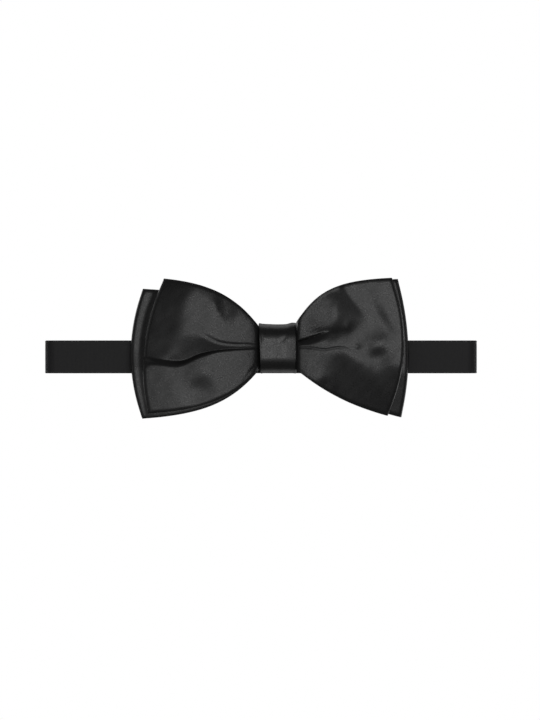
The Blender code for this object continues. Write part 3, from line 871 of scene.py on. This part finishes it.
def makeThreads():
    made = threads
    ring = np.concatenate(roundedBox(*made["bindingDepth"], made["bindingHeight"], made["bindingCorner"],
                                     made["bindingCorner"], 8))
    coil = np.concatenate([ring] * made["bindingTurns"])
    across = (np.arange(len(coil)) / len(ring) - made["bindingTurns"] / 2.0) * made["bindingPitch"]
    path = resample(np.column_stack([across, coil]), 0.16)
    binding = makeTube("waist_binding_thread", path, made["bindingRadius"], (1, 0, 0), ply=made["ply"])
    settle(binding, sewing, "thread", "bow", "waist_binding")

    x = np.linspace(-made["lacingReach"], made["lacingReach"], made["lacingSteps"] + 1)
    z = zigzag(made["lacingSteps"], made["lacingRise"]) - knotCloth["seamDrop"]
    path = resample(np.column_stack([x, 0.0 * x, z]), 0.12)
    # each stitch dives into the cloth on both sides of the seam and crosses it on the outside
    away = (path[:, 2] + knotCloth["seamDrop"]) / made["lacingRise"]
    path[:, 1] = knotCloth["back"] + 0.42 - 0.5 * np.abs(away) ** 4
    sew("knot_lacing", path, "bow", "knot_closing_thread")


def makeTack(name, x, y, body, node):
    # a zigzag of sewing that lies on the ribbon and dives into it at each point
    made = threads
    steps, reach = made["tackSteps"], made["tackReach"]
    z = band["height"] + made["tackHeight"] * (np.arange(steps + 1) / steps - 0.5)
    path = resample(np.column_stack([x + zigzag(steps, reach), 0.0 * z, z]), 0.1)
    path[:, 1] = y + 0.2 - 0.42 * np.abs((path[:, 0] - x) / reach) ** 4
    sew(name, path, body, node)


makeWrap()
makeLining()
makeThreads()
print("knot made")


band = {
    "width": 14.2,
    "thickness": 1.0,
    "front": -1.8,  # y of the middle of the ribbon in the front run and the back run
    "back": 7.0,
    "middle": -7.0,  # x of the loop's middle
    "height": -3.65,  # z of the ribbon's middle, and of the raised stretch in the knot
    "raised": -2.1,
    "level": 34.0,  # the raised stretch reaches this far from the middle, then eases down
    "rise": 20.0,
    "folds": (-95.5, 81.5),
    "bends": 30.0,  # from one bend to the next
    "softness": 5.0,  # half length of the stretch that curves at a bend
    "doubled": 8.3,  # y of the ribbon's second layer
    "turnRadius": 1.4,
    "slope": 8.0,
    "eyeBar": -14.9,
    "hookBar": -27.0,
    "barDepth": 8.4,
    "hookTail": -38.5,
    "sliderBar": 41.0,
    "sliderDepth": 9.7,
    "tabStart": 31.0,
    "tabEnd": 34.8,
    "tabTop": 9.6,
    "tabSlope": 3.7,
    "hookTack": -36.75,  # x of the two rows of sewing
    "tabTack": 36.04,
    "step": 0.55,
    "rows": 26,
    "selvedge": 0.1,  # how much thicker the woven edge is
}


def bandHeight(x, y):
    # middle of the ribbon: raised in front where it passes through the knot
    away = np.abs(x - band["middle"])
    down = ease(band["level"] - 2.0, band["level"] + band["rise"], away)
    front = band["raised"] + (band["height"] - band["raised"]) * down
    return np.where(y > 0.0, band["height"], front)


def ribbonStrip(name, points, start, *nodes, closeEnd=False):
    # the ribbon's section, with slightly thicker woven edges, carried along a path of (x, y) points;
    # start is the path's place along the whole ribbon, so that the weave runs on from strip to strip
    line = resample(np.array(points, float), band["step"])
    # one more section just inside each end keeps the cap from shading the ribbon beside it
    first, last = line[:1], line[-1:]
    line = np.concatenate([first, first + 0.04 * (line[1:2] - first), line[1:-1],
                           last + 0.04 * (line[-2:-1] - last), last])
    run = runLength(line)[:, None]
    wide = band["width"] / 2
    rows = spaced(band["rows"], 0.5 / wide, 4)[None, :]
    rim = (1.0 - np.abs(rows)) * wide
    selvedge = np.exp(-(rim / 0.5) ** 2) - np.exp(-((rim - 1.1) / 0.35) ** 2)
    half = band["thickness"] / 2 * edgeRound(rows, 1.0, 0.35 / wide) * (1.0 + band["selvedge"] * selvedge)
    half = half * (rounded((run[-1] - run) / 0.4) if closeEnd else 1.0) + 0.0 * run
    x, y = line[:, :1], line[:, 1:]
    grid = spread(x, y, bandHeight(x, y) + rows * wide)
    strip = clothPiece(name, grid * mm, half * mm, spread(start + run, rows * wide) * mm, caps=True)
    settle(strip, ribbonCloth, "ribbon", None, *nodes)
    return strip


def bendAt(strip, y, endY=None):
    # the strip's placement is baked into its mesh
    endY = y if endY is None else endY
    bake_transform(strip)


def tailSlope(x, distance, high, low):
    # a ribbon's tail that comes down from a bar over some distance
    share = np.linspace(0.0, 1.0, 12)[1:]
    return spread(x + distance * share, high + (low - high) * ease(0.0, 1.0, share)).tolist()


def makeNeckband():
    front, back, around = band["front"], band["back"], band["turnRadius"]
    radius = (back - front) / 2.0
    for side, label in ((1, "right"), (-1, "left")):
        inner = band["middle"] + side * band["level"]
        outer = inner + side * band["bends"]
        between = (inner + outer) / 2.0
        fold = band["folds"][1] if side > 0 else band["folds"][0]
        beyond = (outer + fold) / 2.0
        name = "neckband_" + label
        run = 0.0

        strip = ribbonStrip(name + "_front", [(band["middle"], front), (between, front)], run,
                            "neckband_centre", name + "_inner")
        bendAt(strip, front)
        run += abs(between - band["middle"])
        strip = ribbonStrip(name + "_side", [(between, front), (beyond, front)], run, name + "_outer")
        bendAt(strip, front)
        run += abs(beyond - between)
        turn = arc((fold, front + radius), radius, -90.0, -90.0 + side * 180.0, 40)
        strip = ribbonStrip(name + "_end_fold", [(beyond, front), *turn.tolist(), (beyond, back)], run,
                            name + "_fold")
        bendAt(strip, front + 0.5, back - 0.5)
        run += 2.0 * abs(fold - beyond) + math.pi * radius
        strip = ribbonStrip(name + "_back_side", [(beyond, back), (between, back)], run, name + "_back_outer")
        bendAt(strip, back)
        run += abs(beyond - between)
        # round the bar of the eye or the hook, and back over itself as a doubled end
        bar = band["eyeBar"] if side > 0 else band["hookBar"]
        tail = band["tabStart"] if side > 0 else band["hookTail"]
        turn = arc((bar, band["barDepth"]), around, -90.0, -90.0 - side * 180.0)
        down = tailSlope(bar, side * band["slope"], band["barDepth"] + around, band["doubled"])
        path = [(between, back), *turn.tolist(), *down, (tail, band["doubled"])]
        strip = ribbonStrip(name + "_back", path, run, name + "_back_middle", name + "_back_end",
                            closeEnd=side < 0)
        bendAt(strip, back)

    bar, start, end = band["sliderBar"], band["tabStart"], band["tabEnd"]
    turn = arc((bar, band["sliderDepth"]), around, -90.0, 90.0)
    down = tailSlope(bar, -band["tabSlope"], band["sliderDepth"] + around, band["tabTop"])
    tab = ribbonStrip("neckband_slider_tab", [(start, band["doubled"]), *turn.tolist(), *down,
                                              (end, band["tabTop"])], 0.0, "slider_tab", closeEnd=True)
    bendAt(tab, back)
    top = band["thickness"] / 2
    makeTack("hook_tail_tack", band["hookTack"], band["doubled"] + top, "left_back_end", "hook_tack")
    makeTack("slider_tab_tack", band["tabTack"], band["tabTop"] + top, "slider", "slider_tack")


makeNeckband()
print("neckband made")


wire = {
    "diameter": 1.2,
    "reach": 8.2,  # half height of each frame, to the middle of its wire
    "corner": 1.4,
    "eye": (-20.3, -14.9),
    "hook": (-27.0, -23.8),
    "claspDepth": 8.4,
    "tongueHeight": 8.0,
    "tongueThickness": 1.0,
    "tongueRadius": 1.75,
    "tongueDrop": 1.8,  # how far the tongue reaches past the middle of the eye's bar
    "tongueTaper": 0.22,
    "tongueTip": 1.6,  # length over which its end narrows, and over which it thins
    "tongueEdge": 0.5,
    "sliderReach": 5.2,
    "sliderSides": 5.6,  # y of the slider's two side bars
}


def wireFrame(name, left, right, depth, arch=0.0):
    # a closed frame of wire; where it arches, its sides lie further forward than its middle
    middle, reach = (left + right) / 2.0, (right - left) / 2.0
    corner = min(wire["corner"], 0.45 * reach)
    loop = np.concatenate(roundedBox(left, right, wire["reach"], corner, corner, 12))
    x, z = resample(np.concatenate([loop, loop[:1]]), 0.3)[:-1].T
    path = np.column_stack([x, depth - arch * ((x - middle) / reach) ** 2, z + band["height"]])
    return makeTube(name, path, wire["diameter"] / 2, (0, 1, 0), closed=True, sides=20)


def joined(name, pieces):
    # several closed meshes as one piece
    work = bmesh.new()
    for piece in pieces:
        work.from_mesh(piece.data)
        bpy.data.objects.remove(piece, do_unlink=True)
    mesh = bpy.data.meshes.new(name)
    work.to_mesh(mesh)
    work.free()
    smoothSides(mesh)
    return addObject(name, mesh)


def makeTongue():
    # it passes over the eye's bar and drops behind it on an arc about the hook's own axis
    made = wire
    depth, axis = made["claspDepth"], made["hook"][0]
    over = arc((made["eye"][0], depth), made["tongueRadius"], 150.0, 10.0, 20)
    swing = over[-1][0] - axis
    drop = arc((axis, depth), swing, 0.0, -math.degrees(math.asin(made["tongueDrop"] / swing)), 8)
    line = resample(np.concatenate([[(made["hook"][1], depth)], over, drop]), 0.2)
    run = runLength(line)[:, None]
    left = run[-1] - run
    rows = spaced(20, 0.25, 5)[None, :]
    width = made["tongueHeight"] / 2 * (1.0 - made["tongueTaper"] * (1.0 - rounded(left / made["tongueTip"])))
    half = made["tongueThickness"] / 2 * edgeRound(rows, 1.0, 0.12) * rounded(left / made["tongueEdge"])
    grid = spread(line[:, :1], line[:, 1:], band["height"] + rows * width)
    return clothPiece("hook_tongue", grid * mm, half * mm, spread(run, rows * width) * mm, caps=True)


def makeMetal():
    made = wire
    eye = wireFrame("clasp_eye", *made["eye"], made["claspDepth"])
    settle(eye, steel, "metal", "eye", "eye")
    around = wireFrame("hook_frame", *made["hook"], made["claspDepth"])
    settle(joined("clasp_hook", [around, makeTongue()]), steel, "metal", "hook", "hook")

    middle, reach, depth = band["sliderBar"], made["sliderReach"], band["sliderDepth"]
    around = wireFrame("slider_frame", middle - reach, middle + reach, depth, depth - made["sliderSides"])
    z = np.linspace(-made["reach"], made["reach"], 40)
    path = np.column_stack([0.0 * z + middle, 0.0 * z + depth, z + band["height"]])
    bar = makeTube("slider_bar", path, made["diameter"] / 2, (0, 1, 0), sides=20)
    settle(joined("slider_three_bar", [around, bar]), steel, "metal", "slider", "adjuster_slider")


makeMetal()
print("metal made")


view = {
    "middle": (-3.1, -5.0),  # x and z, in millimetres, of the point in the middle of the view
    "distance": 1350.0,
    "height": 311.0,  # what the view takes in at the tie, from top to bottom
    "sensor": 36.0,
}

# name, place, width and height in metres, and watts; every lamp faces the tie
lamps = [
    ("front_softbox", (0.3, -1.72, 0.0), 1.3, 0.34, 6.3),
    ("wide_softbox", (0.0, -1.9, 0.0), 2.6, 2.0, 6.6),
    ("top_softbox", (0.0, 0.6, 0.95), 1.2, 0.9, 2.5),
    ("table_softbox", (0.0, 0.6, -0.85), 1.2, 0.7, 1.2),
    ("back_softbox", (-1.1, 1.3, 0.35), 1.3, 1.0, 6.0),
    ("back_low_softbox", (1.05, 1.1, -0.35), 1.5, 1.0, 5.0),
    ("low_softbox", (-1.0, -1.0, -0.68), 0.9, 0.6, 0.9),
    ("right_softbox", (1.7, 0.1, 0.2), 0.5, 1.2, 1.0),
    ("left_softbox", (-1.7, 0.1, 0.2), 0.5, 1.2, 1.0),
]

studio = {
    "light": (0.95, 0.95, 0.96, 1.0),  # what the surroundings give to the tie, and what shows behind it
    "strength": 0.1,
    "seen": (1.0, 1.0, 1.0, 1.0),
    "floorRadius": 4.0,
    "floorHeight": -0.9,
    "floorCorners": 96,
}


def addCamera():
    lens = bpy.data.cameras.new("view")
    lens.sensor_fit = "VERTICAL"
    lens.sensor_height = view["sensor"]
    lens.lens = view["sensor"] * view["distance"] / view["height"]
    lens.clip_end = 50.0
    camera = addObject("view", lens)
    camera.location = (view["middle"][0] * mm, -view["distance"] * mm, view["middle"][1] * mm)
    camera.rotation_euler = (math.pi / 2, 0.0, 0.0)
    bpy.context.scene.camera = camera


def addLamp(name, place, width, height, watts):
    lamp = bpy.data.lights.new(name, "AREA")
    lamp.shape = "RECTANGLE"
    lamp.size = width
    lamp.size_y = height
    lamp.energy = watts
    holder = addObject(name, lamp)
    holder.location = place
    holder.rotation_euler = (-Vector(place)).to_track_quat("-Z", "Y").to_euler()
    holder.visible_camera = False


def addWorld():
    # dim light from all round, and plain white where the camera looks past everything
    world = bpy.data.worlds.new("studio")
    world.use_nodes = True
    tree = world.node_tree
    ground = tree.nodes["Background"]
    ground.inputs["Color"].default_value = studio["light"]
    ground.inputs["Strength"].default_value = studio["strength"]
    paper = tree.nodes.new("ShaderNodeBackground")
    paper.inputs["Color"].default_value = studio["seen"]
    ray = tree.nodes.new("ShaderNodeLightPath")
    mix = tree.nodes.new("ShaderNodeMixShader")
    tree.links.new(ray.outputs["Is Camera Ray"], mix.inputs[0])
    tree.links.new(ground.outputs[0], mix.inputs[1])
    tree.links.new(paper.outputs[0], mix.inputs[2])
    tree.links.new(mix.outputs[0], tree.nodes["World Output"].inputs["Surface"])
    bpy.context.scene.world = world
    bpy.context.scene.view_settings.view_transform = "Standard"
    bpy.context.scene.view_settings.look = "None"


def addFloor():
    count = studio["floorCorners"]
    turn = np.linspace(0.0, circle, count, endpoint=False)
    radius = studio["floorRadius"]
    ring = spread(radius * np.cos(turn), radius * np.sin(turn), studio["floorHeight"])
    mesh = bpy.data.meshes.new("floor")
    mesh.from_pydata(ring.tolist(), [], [list(range(count))])
    floor = addObject("floor", mesh)
    paint = Finish("pale_floor", {"Base Color": (0.5, 0.5, 0.5, 1.0), "Roughness": 0.9,
                                  "Specular IOR Level": 0.1, "Emission Color": (1.0, 1.0, 1.0, 1.0),
                                  "Emission Strength": 0.8})
    floor.data.materials.append(paint.material)
    # the satin mirrors the lamps alone
    floor.visible_glossy = False
    floor.visible_diffuse = False
    floor.visible_shadow = False


addCamera()
for lamp in lamps:
    addLamp(*lamp)
addWorld()
addFloor()
print("stage set")
